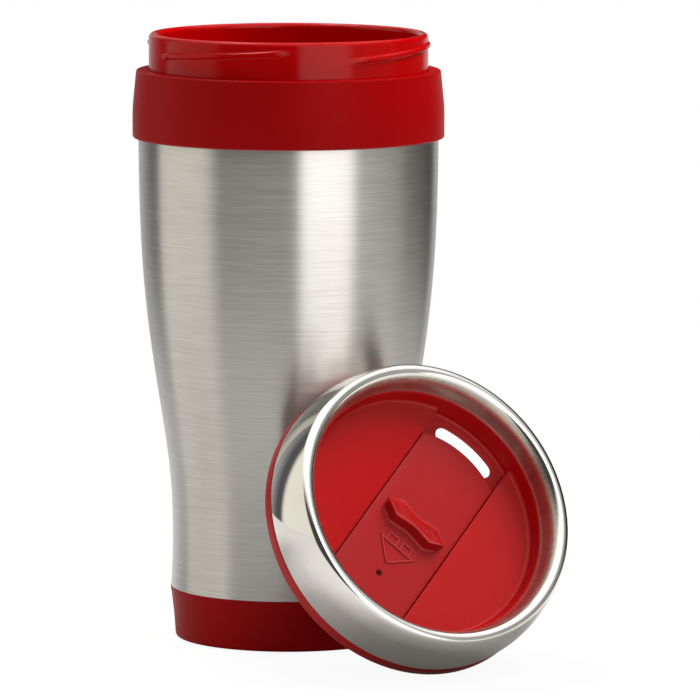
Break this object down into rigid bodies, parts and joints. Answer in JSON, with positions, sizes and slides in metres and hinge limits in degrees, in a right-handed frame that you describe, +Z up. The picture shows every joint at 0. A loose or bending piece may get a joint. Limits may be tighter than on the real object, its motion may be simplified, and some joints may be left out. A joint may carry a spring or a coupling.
{
  "type": "insulated travel mug",
  "caption": "Waisted double-walled travel mug with threaded neck, its screw lid with sliding drink closure taken off and leaned against the side.",
  "frame": {"origin": "centre of the foot pad's underside, on the surface the mug stands on", "axes": "+Z up the mug's axis, -Y towards the side on which the lid leans, +X to the right seen from there"},
  "size_m": [0.1216, 0.134, 0.172],
  "materials": {
    "gloss_red_plastic": "gloss",
    "matte_red_plastic": "satin",
    "brushed_steel": "satin",
    "polished_steel": "polished",
    "foam": "matte",
    "dark_rubber": "matte",
    "pale_silicone": "satin"
  },
  "bodies": {
    "mug": {"inner_liner": "gloss_red_plastic", "insulation_sleeve": "foam", "outer_shell": "brushed_steel", "neck_collar": "matte_red_plastic", "base_cap": "matte_red_plastic", "foot_pad": "dark_rubber"},
    "lid": {"lid_cap": "matte_red_plastic", "lid_trim_ring": "polished_steel", "lid_seal": "pale_silicone"},
    "slider": {"slider": "matte_red_plastic"}
  },
  "joints": [
    {"name": "lid_lift", "type": "slide", "parent": "mug", "child": "lid", "axis": [0.3557, -0.6111, 0.7071], "range_m": [0, 0.11]},
    {"name": "slider_slide", "type": "slide", "parent": "lid", "child": "slider", "axis": [0.4895, 0.6456, 0.5862], "range_m": [0, 0.006]}
  ]
}
